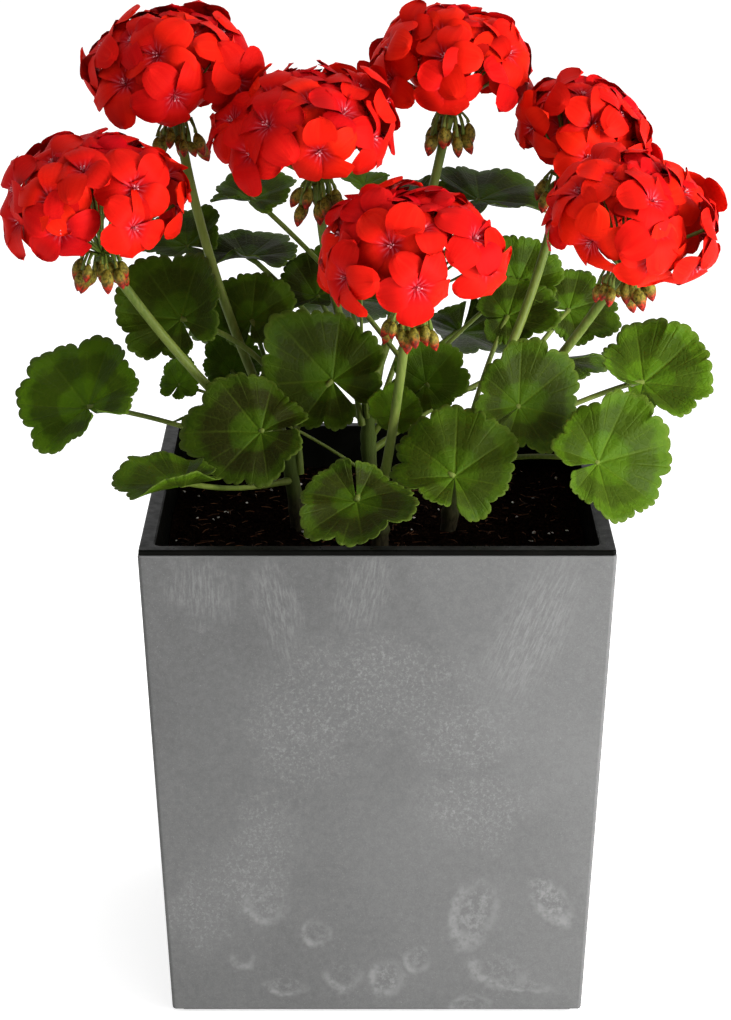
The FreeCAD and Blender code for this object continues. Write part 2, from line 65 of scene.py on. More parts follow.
class Shade:
    """A socket in a material's nodes. Arithmetic on it adds Math nodes."""

    def __init__(self, tree, socket=None):
        self.tree = tree
        self.socket = socket

    def node(self, kind, settings=(), sockets=(), output=0):
        """Add a node of a type, with its settings first, then its sockets' values or links."""
        made = self.tree.nodes.new("ShaderNode" + kind)
        for setting, value in dict(settings).items():
            if setting == "stops":
                ramp = made.color_ramp.elements
                while len(ramp) < len(value):
                    ramp.new(1)
                for stop, (place, colour) in zip(ramp, value):
                    stop.position = place
                    stop.color = (*colour, 1)
            else:
                setattr(made, setting, value)
        for entry, value in dict(sockets).items():
            if isinstance(value, Shade):
                self.tree.links.new(value.socket, made.inputs[entry])
            else:
                made.inputs[entry].default_value = value
        return Shade(self.tree, made.outputs[output])

    def out(self, name):
        """Another output of the node that this socket belongs to."""
        return Shade(self.tree, self.socket.node.outputs[name])

    def math(self, operation, *others):
        return self.node("Math", {"operation": operation}, dict(enumerate((self,) + others)))

    def __add__(self, other):
        return self.math("ADD", other)

    def __radd__(self, other):
        return self + other

    def __sub__(self, other):
        return self.math("SUBTRACT", other)

    def __rsub__(self, other):
        return self * -1 + other

    def __mul__(self, other):
        return self.math("MULTIPLY", other)

    def __rmul__(self, other):
        return self * other

    def __truediv__(self, other):
        return self.math("DIVIDE", other)

    def __pow__(self, other):
        return self.math("POWER", other)

    def __abs__(self):
        return self.math("ABSOLUTE")

    def fade(self, low, high):
        """0 below low, 1 above high and smooth between them; the other way round if low is higher."""
        if low > high:
            return 1 - self.fade(high, low)
        ends = {"Value": self, "From Min": low, "From Max": high}
        return self.node("MapRange", {"interpolation_type": "SMOOTHSTEP"}, ends)

    def noise(self, scale, detail=2, roughness=0.5):
        """Noise read at this vector."""
        values = {"Vector": self, "Scale": scale, "Detail": detail, "Roughness": roughness}
        return self.node("TexNoise", (), values)

    def stretch(self, x, y, z):
        """This vector with its three parts scaled."""
        return self.node("VectorMath", {"operation": "MULTIPLY"}, {0: self, 1: (x, y, z)})

    def mix(self, first, second):
        """A colour that goes from the first to the second as this number goes from 0 to 1."""
        pair = {6: first, 7: second}
        for entry, colour in pair.items():
            if not isinstance(colour, Shade):
                pair[entry] = (*colour, 1)
        return self.node("Mix", {"data_type": "RGBA"}, {0: self, **pair}, output=2)

    def join(self, second, third):
        """A vector from three numbers."""
        return self.node("CombineXYZ", (), {0: self, 1: second, 2: third})


class Finish:
    """A material with one Principled shader. Its fixed values are set on the shader's sockets."""

    def __init__(self, name, fixed):
        self.material = bpy.data.materials.new(name)
        self.material.use_nodes = True
        self.tree = self.material.node_tree
        self.shader = self.tree.nodes["Principled BSDF"]
        for entry, value in fixed.items():
            self.shader.inputs[entry].default_value = value

    def read(self, kind, output, settings=()):
        """Start from a texture coordinate, UV map, attribute or geometry node."""
        return Shade(self.tree).node(kind, settings, (), output)

    def feed(self, entry, shade):
        self.tree.links.new(shade.socket, self.shader.inputs[entry])

    def bump(self, height, strength, depth):
        bump = {"Height": height, "Strength": strength, "Distance": depth}
        self.feed("Normal", height.node("Bump", (), bump))


STONE_DARK = (0.080, 0.080, 0.079)
STONE_MID = (0.134, 0.134, 0.1325)
STONE_PALE = (0.30, 0.30, 0.296)

# The marks are in millimetres, across from the middle of the front and up from the ground. On the
# other sides they sit further along by these shifts.
SIDE_SHIFT = 31
BACK_SHIFT = 24

# Feathery patches of short flow strokes: middle, half width, half height, lean to the left.
FLOW_PATCHES = [
    (-62, 284, 16, 36, -0.16),
    (-9, 296, 19, 26, 0.18),
    (98, 270, 25, 50, 0.40),
    (-112, 300, 24, 20, 0.0),
]
# Clouds of pale flecks: middle, half width and half height.
FLECK_CLOUDS = [
    (-8, 232, 58, 30),
    (-48, 200, 28, 34),
    (54, 200, 30, 22),
    (64, 150, 30, 22),
    (-74, 126, 18, 26),
    (-84, 96, 24, 22),
    (-116, 72, 24, 20),
]
# Curled marks, half bubble and half drop: middle, half width, half height, tilt in degrees, how
# much of the top is open, and how full the inside is.
CURLS = [
    (-39, 61, 10, 11, 0, 0.3, 0.3),
    (-22, 31, 13, 14, 8, 0.8, 0.2),
    (7, 27, 11, 14, 0, 0.2, 0.9),
    (27, 41, 9, 11, -20, 0.8, 0.5),
    (64, 76, 15, 28, -14, 0.3, 0.7),
    (-72, 81, 14, 15, 0, 0.6, 0.6),
    (-87, 43, 8, 10, 10, 0.8, 0.0),
    (-59, 21, 15, 7, -5, 0.7, 0.5),
    (80, 33, 20, 13, -15, 0.6, 0.4),
    (62, 7, 13, 9, 10, 0.2, 0.5),
    (95, 22, 22, 5, -8, 0.6, 0.5),
    (112, 84, 11, 22, 35, 0.6, 0.9),
]

stone = Finish("speckled_stone_plastic", {"Specular IOR Level": 0.12})
place = stone.read("TexCoord", "Object").stretch(1000, 1000, 1000)
facing = stone.read("TexCoord", "Normal")
facing = facing.node("SeparateXYZ", (), {0: facing})
split = place.node("SeparateXYZ", (), {0: place})
on_side = abs(facing.out("X")).math("GREATER_THAN", abs(facing.out("Y")))
at_back = facing.out("Y").math("GREATER_THAN", 0.5)
level = split.out("Z")
across = split.out("X") * (1 - on_side) + split.out("Y") * on_side
across = across + on_side * SIDE_SHIFT - at_back * BACK_SHIFT

shell_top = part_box("cover_pot")[1].z * 1000
grain = place.noise(0.9, 3, 0.7)
mottle = place.noise(0.22, 4, 0.75)
flecks = place.noise(0.42, 4, 0.8).fade(0.48, 0.68)
bent_across = across + (place.noise(0.035, 4, 0.7) - 0.5) * 60
bent_level = level + (place.noise(0.030, 4, 0.7) - 0.5) * 60
near_across = across + (place.noise(0.10, 2) - 0.5) * 6
near_level = level + (place.noise(0.11, 2) - 0.5) * 6

streaky = place.stretch(1, 1, 0.3).noise(0.030, 3, 0.6).fade(0.40, 0.66)
pale = place.noise(1.1, 3, 0.75).fade(0.58, 0.76) * (0.24 + streaky * 0.20)
for middle, height, half_width, half_height, lean in FLOW_PATCHES:
    slid = across - (level - height) * lean
    strokes = slid.join(0, level * 0.16).noise(0.50, 4, 0.75).fade(0.40, 0.68)
    away = ((slid + (bent_across - across) * 0.4 - middle) / half_width) ** 2
    away = away + ((bent_level - height) / half_height) ** 2
    pale = pale.math("MAXIMUM", (strokes * 0.24 + 0.01) * away.fade(1.6, 0.0))
for middle, height, half_width, half_height in FLECK_CLOUDS:
    away = ((bent_across - middle) / half_width) ** 2 + ((bent_level - height) / half_height) ** 2
    pale = pale.math("MAXIMUM", (flecks * 0.30 + 0.05) * away.fade(2.8, -0.3))
broken = place.noise(0.16, 3, 0.6).fade(0.28, 0.62)
bubbly = mottle.fade(0.42, 0.66)
for middle, height, half_width, half_height, tilt, opening, full in CURLS:
    turn = math.radians(tilt)
    side = (near_across - middle) * math.cos(turn) + (near_level - height) * math.sin(turn)
    rise = (near_level - height) * math.cos(turn) - (near_across - middle) * math.sin(turn)
    rise = rise / half_height
    side = side / half_width * (1 + rise.fade(0, 1.2) * 0.3)
    away = (side ** 2 + rise ** 2) ** 0.5
    ring = abs(away - 0.86).fade(0.42, 0.0) * broken * (0.75 - side.fade(-0.5, 0.9) * 0.4)
    if opening:
        ring = ring * rise.fade(1.4 - opening, 0.3 - opening)
    inside = away.fade(1.1, 0.5) * bubbly * full
    pale = pale.math("MAXIMUM", (ring * 0.48).math("MAXIMUM", inside * 0.34))

# Painted highlight: a pale diagonal strip on the upper right of each face, where the key light falls.
lit_edge = (across + level * 0.42 - 150).fade(-6, 12) * level.fade(130, 190)
tone = mottle.fade(0.3, 0.75) * 0.30 + grain.fade(0.30, 0.72) * 0.25
tone = tone + place.noise(0.012, 3).fade(0.3, 0.7) * 0.20 + lit_edge * 0.20
# Painted light and shade: each face is painted lighter towards its right, where the key light falls,
# and darker towards the top.
tone = tone + across.fade(-150, 150) * 0.34 - level.fade(90, 290) * 0.22 + 0.05
# Painted highlight: a pale line along the shell's top edge, where the light catches it under the
# flange.
tone = tone + level.fade(shell_top - 1.6, shell_top - 0.6) * 0.8
stone.feed("Base Color", pale.mix(tone.mix(STONE_DARK, STONE_MID), STONE_PALE))
stone.feed("Roughness", 0.66 - pale * 0.12 - grain * 0.10)
stone.bump(grain * 0.6 + mottle * 0.4, 0.10, 0.0004)


def dress(node, material):
    """Give a CAD node that stays in view its finish."""
    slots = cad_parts[node].data.materials
    slots.clear()
    slots.append(material)


dress("cover_pot", stone.material)

# ---- Grow pot --------------------------------------------------------------------------------
# The lift-out liner is black satin plastic. Its flange hangs on the cover pot's top edge, and
# its inside is dusty where the soil has rubbed it.

liner = Finish("black_satin_plastic", {"Specular IOR Level": 0.03})
place = liner.read("TexCoord", "Object").stretch(1000, 1000, 1000)
scuffs = place.stretch(1, 1, 0.3).noise(0.15, 4, 0.7)
dust = place.noise(0.05, 4, 0.6).fade(0.45, 0.8)
liner.feed("Base Color", (dust * 0.5).mix((0.0016, 0.0017, 0.0012), (0.006, 0.0058, 0.0045)))
liner.feed("Roughness", 0.26 + scuffs.fade(0.3, 0.8) * 0.22)
liner.bump(place.noise(0.9, 2), 0.06, 0.0003)
dress("grow_pot", liner.material)

# ---- Drain plug ------------------------------------------------------------------------------
# A black rubber plug closes the drain hole in the cover pot's floor, and pulls out upwards.

rubber = Finish("black_rubber", {"Specular IOR Level": 0.4})
place = rubber.read("TexCoord", "Object").stretch(1000, 1000, 1000)
bloom = place.noise(0.25, 4, 0.7).fade(0.4, 0.8)
rubber.feed("Base Color", bloom.mix((0.014, 0.014, 0.014), (0.040, 0.040, 0.039)))
rubber.feed("Roughness", 0.6 + bloom * 0.2)
rubber.bump(place.noise(1.4, 2), 0.1, 0.0003)
dress("drain_plug", rubber.material)

# ---- Clay granules ---------------------------------------------------------------------------
# A layer of fired clay granules drains the bottom of the grow pot. It is closed in by the soil
# and the pot, and only shows through the seep holes.

clay = Finish("fired_clay_granules", {"Roughness": 0.9})
place = clay.read("TexCoord", "Object").stretch(1000, 1000, 1000)
pebbles = place.node("TexVoronoi", (), {"Vector": place, "Scale": 0.12})
clay.feed("Base Color", place.noise(0.1, 3).fade(0.3, 0.7).mix((0.20, 0.08, 0.045), (0.42, 0.20, 0.11)))
clay.bump(1 - pebbles, 0.8, 0.004)
dress("clay_granules", clay.material)

# ---- Potting soil ----------------------------------------------------------------------------
# Dark peat fills the grow pot to a little below its rim. Its top is crumbly, with coconut fibres,
# bark and white perlite lying in it.

MM = 0.001


def finish_piece(mesh, name, material, body, replaced, smooth=True):
    """Make a piece from a bmesh, give it its finish and let it ride on its body."""
    bmesh.ops.recalc_face_normals(mesh, faces=mesh.faces)
    data = bpy.data.meshes.new(name)
    mesh.to_mesh(data)
    mesh.free()
    data.polygons.foreach_set("use_smooth", [smooth] * len(data.polygons))
    for entry in material if isinstance(material, list) else [material]:
        data.materials.append(entry)
    piece = bpy.data.objects.new(name, data)
    bpy.context.scene.collection.objects.link(piece)
    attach(piece, body)
    if replaced:
        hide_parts(*replaced)
    return piece


def tube(mesh, route, radii, sides, material_index=0):
    """A round tube with closed ends along a route, its radius given at each point."""
    count = len(route)
    headings = [(route[min(index + 1, count - 1)] - route[max(index - 1, 0)]).normalized()
                for index in range(count)]
    turn = Vector((0, 0, 1)).rotation_difference(headings[0])
    first = bmesh.ops.create_circle(mesh, cap_ends=True, segments=sides, radius=1,
                                    matrix=Matrix.Translation(route[0]) @ turn.to_matrix().to_4x4()
                                    @ Matrix.Scale(radii[0], 4))
    ring = first["verts"]
    face = ring[0].link_faces[0]
    made = [face]
    for index in range(1, count):
        grown = bmesh.ops.extrude_face_region(mesh, geom=[face])["geom"]
        tip = [item for item in grown if isinstance(item, bmesh.types.BMVert)]
        faces = [item for item in grown if isinstance(item, bmesh.types.BMFace)]
        bend = headings[index - 1].rotation_difference(headings[index]).to_matrix()
        scale = radii[index] / radii[index - 1]
        for vertex in tip:
            vertex.co = route[index] + bend @ (vertex.co - route[index - 1]) * scale
        bmesh.ops.delete(mesh, geom=[face], context="FACES_ONLY")
        made += {item for vertex in tip for item in vertex.link_faces}
        face = faces[0]
    for item in made:
        if item.is_valid:
            item.material_index = material_index
    return made


soil_low, soil_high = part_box("potting_soil")
SOIL_CELLS = 130
CRUMB_COUNT = 1500
PERLITE_COUNT = 80
FIBRE_RADIUS = 0.35 * MM
FIBRE_COUNT = 340
random.seed(11)

soil_mesh = bmesh.new()
bmesh.ops.create_grid(soil_mesh, x_segments=SOIL_CELLS, y_segments=SOIL_CELLS, size=0.5)
soil_half = (soil_high.x - soil_low.x) / 2 - 0.6 * MM


def soil_level(x, y):
    """Height of the loose soil top at a place."""
    broad = noise.noise(Vector((x * 14, y * 14, 0.3))) * 3.0
    clods = noise.noise(Vector((x * 90, y * 90, 4.1))) * 2.0
    fine = noise.noise(Vector((x * 320, y * 320, 9.4))) * 0.9
    return soil_high.z + (broad + clods + fine - 1.5) * MM


for vertex in soil_mesh.verts:
    x = vertex.co.x * 2 * soil_half
    y = vertex.co.y * 2 * soil_half
    vertex.co = Vector((x, y, soil_level(x, y)))
rim_edges = [edge for edge in soil_mesh.edges if edge.is_boundary]
skirt = bmesh.ops.extrude_edge_only(soil_mesh, edges=rim_edges)["geom"]
skirt_verts = [item for item in skirt if isinstance(item, bmesh.types.BMVert)]
lower_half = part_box("clay_granules")[1].x - 0.6 * MM
shrink = lower_half / soil_half
for vertex in skirt_verts:
    vertex.co = Vector((vertex.co.x * shrink, vertex.co.y * shrink, soil_low.z))
skirt_edges = [item for item in skirt if isinstance(item, bmesh.types.BMEdge)]
bmesh.ops.contextual_create(soil_mesh, geom=skirt_edges)


def soil_spot(margin):
    """A random place on the soil top, clear of the pot's wall."""
    reach = soil_half - margin
    x, y = random.uniform(-reach, reach), random.uniform(-reach, reach)
    return Vector((x, y, soil_level(x, y)))


def lump(mesh, place, size, material_index):
    """A small irregular crumb."""
    turned = Matrix.Rotation(random.uniform(0, 2 * math.pi), 4, "Z")
    flattened = (size, size * random.uniform(0.6, 1), size * random.uniform(0.45, 0.8), 1)
    matrix = Matrix.Translation(place) @ turned @ Matrix.Diagonal(flattened)
    made = bmesh.ops.create_icosphere(mesh, subdivisions=1, radius=1, matrix=matrix)
    for vertex in made["verts"]:
        vertex.co = place + (vertex.co - place) * random.uniform(0.75, 1.25)
        for face in vertex.link_faces:
            face.material_index = material_index


for _ in range(CRUMB_COUNT):
    size = random.choice((1.0, 1.3, 1.8, 2.6, 3.4)) * MM
    lump(soil_mesh, soil_spot(5 * MM), size, 0)
for _ in range(PERLITE_COUNT):
    size = random.uniform(0.6, 1.5) * MM
    lump(soil_mesh, soil_spot(4 * MM) + Vector((0, 0, 0.8 * MM)), size, 1)
for _ in range(FIBRE_COUNT):
    start = soil_spot(12 * MM) + Vector((0, 0, 0.8 * MM))
    turn = random.uniform(0, 2 * math.pi)
    reach = random.uniform(4, 11) * MM
    middle = start + Vector((math.cos(turn), math.sin(turn), random.uniform(0, 0.25))) * reach / 2
    turn += random.uniform(-0.7, 0.7)
    end = middle + Vector((math.cos(turn), math.sin(turn), random.uniform(-0.2, 0.1))) * reach / 2
    tube(soil_mesh, [start, middle, end], [FIBRE_RADIUS] * 3, 4, 2)

peat = Finish("dark_peat", {"Roughness": 0.95, "Specular IOR Level": 0})
place = peat.read("TexCoord", "Object").stretch(1000, 1000, 1000)
grit = place.noise(0.5, 5, 0.75)
peat.feed("Base Color", grit.fade(0.45, 0.72).mix((0.0014, 0.0010, 0.0008), (0.020, 0.0095, 0.0055)))
peat.bump(grit, 0.9, 0.0015)

perlite = Finish("white_perlite", {"Roughness": 0.85, "Specular IOR Level": 0.1})
place = perlite.read("TexCoord", "Object").stretch(1000, 1000, 1000)
whiteness = place.noise(1.2, 3).fade(0.3, 0.7)
perlite.feed("Base Color", whiteness.mix((0.30, 0.28, 0.25), (0.72, 0.70, 0.66)))
perlite.bump(place.noise(2.5, 2), 0.5, 0.0003)

fibre = Finish("coconut_fibre", {"Roughness": 0.85, "Specular IOR Level": 0.1})
place = fibre.read("TexCoord", "Object").stretch(1000, 1000, 1000)
dryness = place.noise(0.2, 3).fade(0.35, 0.65)
fibre.feed("Base Color", dryness.mix((0.020, 0.008, 0.004), (0.085, 0.035, 0.014)))
fibre.bump(place.noise(3, 2), 0.3, 0.0002)

soil_finishes = [peat.material, perlite.material, fibre.material]
finish_piece(soil_mesh, "soil_top", soil_finishes, "insert", ["potting_soil"], smooth=False)

# ---- Crown stems -----------------------------------------------------------------------------
# Each of the four plants stands on a short woody stem, brown at the foot and green above, with
# swollen joints and old leaf scars.


def solids_of(node):
    """The separate solids of a CAD node, each as a list of its corner points."""
    mesh = bmesh.new()
    mesh.from_mesh(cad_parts[node].data)
    bmesh.ops.remove_doubles(mesh, verts=mesh.verts, dist=0.001 * MM)
    left = set(mesh.verts)
    solids = []
    while left:
        reached = [left.pop()]
        for vertex in reached:
            for edge in vertex.link_edges:
                other = edge.other_vert(vertex)
                if other in left:
                    left.remove(other)
                    reached.append(other)
        solids.append([vertex.co.copy() for vertex in reached])
    mesh.free()
    return sorted(solids, key=lambda points: tuple(min(points, key=lambda point: point.z)))


def middle_of(points):
    return sum(points, Vector()) / len(points)


def end_of(points, towards, depth):
    """The middle of a solid's points that lie furthest along a direction, within a depth."""
    furthest = max(point.dot(towards) for point in points)
    return middle_of([point for point in points if point.dot(towards) > furthest - depth])


STEM_STEPS = 26
STEM_JOINTS = 4
random.seed(23)
stem_mesh = bmesh.new()
for points in solids_of("crown_stems"):
    foot = end_of(points, Vector((0, 0, -1)), 2 * MM)
    top = end_of(points, Vector((0, 0, 1)), 5 * MM)
    radius = max((point - foot).xy.length for point in points if point.z < foot.z + 1 * MM)
    joints = [random.uniform(0.12, 0.9) for _ in range(STEM_JOINTS)]
    route, radii = [], []
    for step in range(STEM_STEPS + 1):
        share = step / STEM_STEPS
        swell = sum(0.16 * math.exp(-((share - joint) / 0.03) ** 2) for joint in joints)
        sway_x = noise.noise(Vector((share * 3, foot.x * 90, 1)))
        sway_y = noise.noise(Vector((share * 3, foot.y * 90, 7)))
        sway = Vector((sway_x, sway_y, 0))
        route.append(foot.lerp(top, share) + sway * 1.2 * MM * math.sin(math.pi * share))
        radii.append(radius * (0.92 - 0.22 * share + swell * 0.8))
    route.append(route[-1] + Vector((0, 0, 3 * MM)))
    radii.append(radii[-1] * 0.45)
    tube(stem_mesh, [foot - Vector((0, 0, 6 * MM))] + route, [radius * 1.05] + radii, 16)

bark = Finish("woody_green_bark", {"Roughness": 0.75, "Specular IOR Level": 0.1})
place = bark.read("TexCoord", "Object").stretch(1000, 1000, 1000)
split = place.node("SeparateXYZ", (), {0: place})
ridges = place.stretch(1, 1, 0.25).noise(0.6, 4, 0.7)
greening = (split.out("Z") + place.noise(0.1, 2) * 20).fade(312, 350)
brown = ridges.fade(0.3, 0.7).mix((0.010, 0.008, 0.004), (0.035, 0.028, 0.013))
bark.feed("Base Color", greening.mix(brown, (0.05, 0.075, 0.012)))
bark.bump(ridges, 0.6, 0.0012)
finish_piece(stem_mesh, "woody_stems", bark.material, "insert", ["crown_stems"])

# ---- Flower stalks ---------------------------------------------------------------------------
# Each flower head stands on a round, downy, yellow-green stalk that springs from a stem, a little
# swollen at both ends.

stalk_finish = Finish("downy_green_stalk", {"Specular IOR Level": 0.15})
place = stalk_finish.read("TexCoord", "Object").stretch(1000, 1000, 1000)
fleck = place.stretch(1, 1, 0.2).noise(0.5, 3, 0.6).fade(0.3, 0.7)
drift = place.noise(0.02, 2).fade(0.35, 0.65)
stalk_colour = drift.mix((0.060, 0.098, 0.007), (0.100, 0.135, 0.018))
stalk_colour = (fleck * 0.5).mix(stalk_colour, (0.150, 0.180, 0.042))
stalk_finish.feed("Base Color", stalk_colour)
stalk_finish.feed("Roughness", 0.42 + fleck * 0.2)
stalk_finish.bump(place.noise(1.6, 2), 0.25, 0.0003)


def stalk_route(points, end, steps):
    """The middle line of a curved stalk, from its far end to the given end, as its solid runs."""
    far = max(points, key=lambda point: (point - end).length)
    reach = (far - end).length
    start = middle_of([point for point in points if (point - end).length > reach - 4 * MM])
    chord = end - start
    pull, weight = Vector(), 0
    for point in points:
        share = (point - start).dot(chord) / chord.length_squared
        arch = 4 * share * (1 - share)
        if 0 < share < 1:
            pull += (point - start.lerp(end, share)) * arch
            weight += arch * arch
    sag = pull / weight if weight > 0.5 else Vector()
    shares = [step / steps for step in range(steps + 1)]
    return [start.lerp(end, share) + sag * (4 * share * (1 - share)) for share in shares]


STALK_RADIUS = 3.3 * MM
STALK_STEPS = 22
FLOWER_COUNT = sum(node.startswith("flower_head_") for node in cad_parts)
flower_ends = {}
for number in range(1, FLOWER_COUNT + 1):
    points = solids_of(f"flower_stalk_{number}")[0]
    stalk_top = end_of(points, Vector((0, 0, 1)), 2.5 * MM)
    route = stalk_route(points, stalk_top, STALK_STEPS)
    lead_in = (route[0] - route[1]).normalized() * 4 * MM
    radii = []
    for index in range(len(route)):
        foot_swell = 0.22 * math.exp(-index / 1.5)
        top_swell = 0.3 * math.exp((index - STALK_STEPS) / 1.2)
        radii.append(STALK_RADIUS * (0.94 + foot_swell + top_swell))
    flower_ends[number] = stalk_top
    mesh = bmesh.new()
    tube(mesh, [route[0] + lead_in] + route, [radii[0]] + radii, 12)
    finish_piece(mesh, f"flower_stem_{number}", stalk_finish.material, "insert",
                 [f"flower_stalk_{number}"])

# ---- Flower heads ----------------------------------------------------------------------------
# A head is a ball of scarlet florets on thin stalks. A floret has five broad overlapping petals,
# with pink veins and threads in its throat. The newest florets, in the middle, are still crimson
# and half closed.

PETAL_HALF_WIDTH = 0.46
PETAL_WIDEST = 0.62
CLAW_HALF_WIDTH = 0.05


def petal_shape(kind):
    """One petal, a unit long, from its claw at the origin along +Y, with its face to +Z."""
    mesh = bmesh.new()
    bmesh.ops.create_grid(mesh, x_segments=6, y_segments=8, size=0.5)
    layer = mesh.loops.layers.uv.verify()
    places = {}
    for vertex in mesh.verts:
        side = vertex.co.x * 2
        along = 1 - (0.5 - vertex.co.y) ** 1.7
        if along < PETAL_WIDEST:
            opened = math.sin(math.pi / 2 * (along / PETAL_WIDEST) ** 1.15)
            half = CLAW_HALF_WIDTH + (PETAL_HALF_WIDTH - CLAW_HALF_WIDTH) * opened
        else:
            beyond = (along - PETAL_WIDEST) / (1 - PETAL_WIDEST)
            half = PETAL_HALF_WIDTH * math.sqrt(max(0.0, 1 - beyond * beyond))
        lift = 0.20 * math.sin(math.pi * min(1, along * 1.1)) - 0.20 * along ** 3
        curl = (0.20 - 0.12 * kind) * side * side * along ** 2
        ripple = 0.030 * math.sin(side * 2.6 + kind * 2.1) * along ** 2
        places[vertex] = (side * 0.5 + 0.5, along)
        vertex.co = Vector((side * half, along, lift - curl + ripple))
    for face in mesh.faces:
        for loop in face.loops:
            loop[layer].uv = places[loop.vert]
    data = bpy.data.meshes.new(f"petal_{kind}")
    mesh.to_mesh(data)
    mesh.free()
    return data


petal_kinds = [petal_shape(kind) for kind in range(3)]


def place_copy(mesh, shape, matrix, tint=None):
    """Add a copy of a shape to a mesh, moved by a matrix, in the mesh's first material."""
    old_verts, old_faces = len(mesh.verts), len(mesh.faces)
    mesh.from_mesh(shape)
    mesh.verts.ensure_lookup_table()
    mesh.faces.ensure_lookup_table()
    bmesh.ops.transform(mesh, matrix=matrix, verts=mesh.verts[old_verts:])
    layer = mesh.loops.layers.float["tint"]
    for face in mesh.faces[old_faces:]:
        face.material_index = 0
        if tint is not None:
            for loop in face.loops:
                loop[layer] = tint


def facing_matrix(place, outward, roll, size):
    """A matrix that puts a shape's +Z along a direction at a place, after a roll about it."""
    turn = Vector((0, 0, 1)).rotation_difference(outward).to_matrix().to_4x4()
    return Matrix.Translation(place) @ turn @ Matrix.Rotation(roll, 4, "Z") @ Matrix.Scale(size, 4)


petal_finish = Finish("scarlet_petal", {"Specular IOR Level": 0.03})
spread = petal_finish.read("UVMap", "UV")
spread = spread.node("SeparateXYZ", (), {0: spread})
tint = petal_finish.read("Attribute", "Fac", {"attribute_name": "tint"})
side = spread.out("X") * 2 - 1
along = spread.out("Y")
silk = (side * 3).join(along * 0.8, tint * 20).noise(1.6, 3, 0.6)
red = tint.mix((0.370, 0.0008, 0.0036), (0.640, 0.0100, 0.0020))
bright_red = tint.mix((0.54, 0.0030, 0.006), (0.74, 0.028, 0.006))
red = (silk.fade(0.35, 0.75) * along * 0.5).mix(red, bright_red)
red = (along.fade(0.50, 0.05) * 0.6).mix(red, (0.280, 0.0008, 0.0080))
rays = abs((side * 6 + (silk - 0.5) * 2).math("SINE")).fade(0.72, 1.0) * along.fade(0.36, 0.08)
red = (rays * 0.38).mix(red, (0.70, 0.13, 0.17))
petal_finish.feed("Base Color", red)
petal_finish.feed("Roughness", 0.45 + silk * 0.25)
petal_finish.bump(silk + rays * 0.3, 0.30, 0.0008)

throat_finish = Finish("pink_throat", {"Roughness": 0.6, "Specular IOR Level": 0.1})
place = throat_finish.read("TexCoord", "Object").stretch(1000, 1000, 1000)
pinks = place.noise(0.6, 2)
throat_finish.feed("Base Color", pinks.fade(0.40, 0.65).mix((0.34, 0.008, 0.02), (0.72, 0.30, 0.33)))
throat_finish.bump(pinks, 0.2, 0.0002)

# Each ring of florets: how many, their height angle, their size and how far they cup shut. The
# young ones sit deeper in the ball, and every floret faces a little off its own way outwards.
FLORET_RINGS = [(7, -10, 1.05, 0.10), (6, 24, 1.08, 0.04), (6, 52, 0.94, 0.16)]
YOUNG_RING = (6, 72, 0.78, 0.62)
YOUNG_DEPTH = 0.74
FLORET_REACH = 24 * MM
BALL_SHARE = 0.86
FACING_JITTER = 0.46
THREAD_POINTS = [Vector((0, 0, 0)), Vector((0.02, 0, 0.12)), Vector((0.07, 0.01, 0.22))]


def floret(mesh, place, outward, size, tone, shut):
    """Five petals round a throat with a few threads."""
    roll = random.uniform(0, 2 * math.pi)
    for petal in range(5):
        turn = roll + petal * 2 * math.pi / 5 + random.uniform(-0.07, 0.07)
        cupped = Matrix.Rotation(shut + random.uniform(-0.16, 0.20), 4, "X")
        overlapped = Matrix.Rotation(0.16, 4, "Y") @ cupped
        matrix = facing_matrix(place, outward, turn, size * random.uniform(0.93, 1.05)) @ overlapped
        shade = min(1, max(0, tone + random.uniform(-0.14, 0.14)))
        place_copy(mesh, random.choice(petal_kinds), matrix, shade)
    for thread in range(4):
        lean = facing_matrix(place, outward, roll + thread * 1.7, size)
        threads = [lean @ point for point in THREAD_POINTS]
        tube(mesh, threads, [0.45 * MM, 0.38 * MM, 0.5 * MM], 4, 1)


